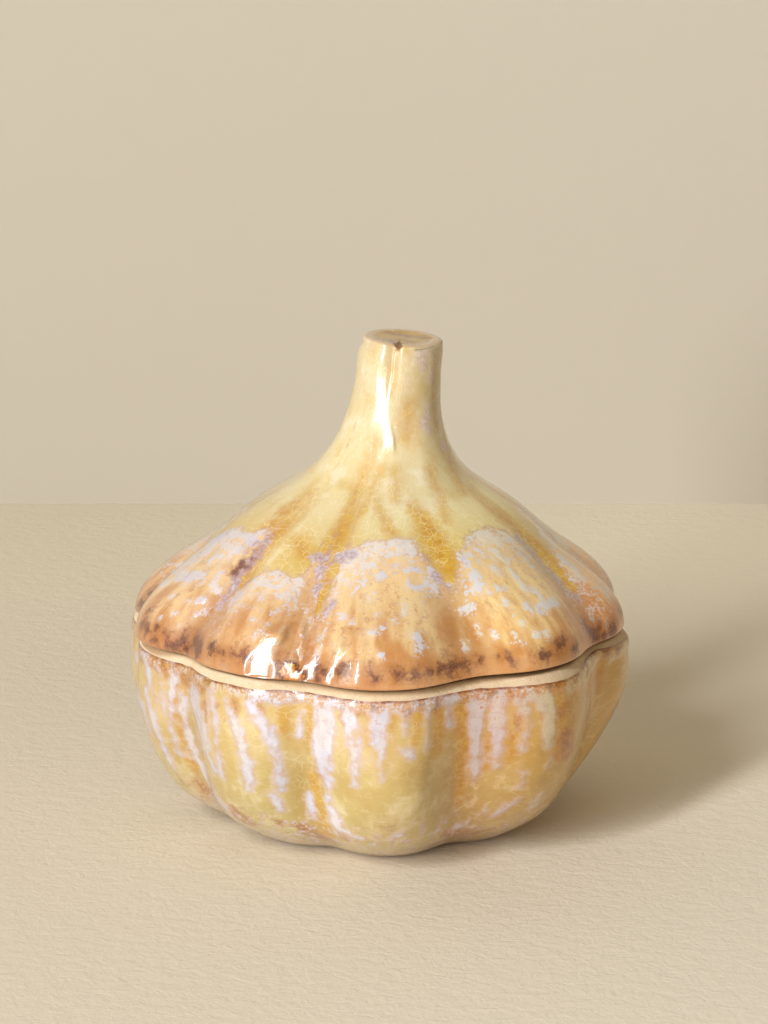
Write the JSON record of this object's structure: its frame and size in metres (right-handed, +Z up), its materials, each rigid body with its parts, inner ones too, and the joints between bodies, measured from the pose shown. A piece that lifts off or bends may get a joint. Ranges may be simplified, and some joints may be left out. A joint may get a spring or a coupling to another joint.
{
  "type": "garlic keeper",
  "caption": "Two-piece glazed stoneware garlic keeper: a lobed garlic-bulb bowl with a bare bevelled rim and a lobed lift-off lid drawn up into a leaning stem grip.",
  "frame": {"origin": "on the surface the bowl stands on, under the middle of the outline", "axes": "+Z up along the way the lid lifts; -Y towards the front lobe; +X to the right, the way the stem leans"},
  "size_m": [0.13, 0.1323, 0.1278],
  "materials": {
    "bowl_glaze": "gloss crackle glaze in olive yellow with pale lilac runs; rim, foot and seat bare cream clay",
    "lid_glaze": "gloss crackle glaze, cream yellow at the stem, peach orange lobes with white and lilac flecks, brown edge; seat and locating lip bare cream clay"
  },
  "bodies": {
    "bowl": {"bowl": "bowl_glaze"},
    "lid": {"lid": "lid_glaze"}
  },
  "joints": [
    {"name": "lid_lift", "type": "slide", "parent": "bowl", "child": "lid", "axis": [0, 0, 1], "range_m": [0, 0.16]}
  ]
}
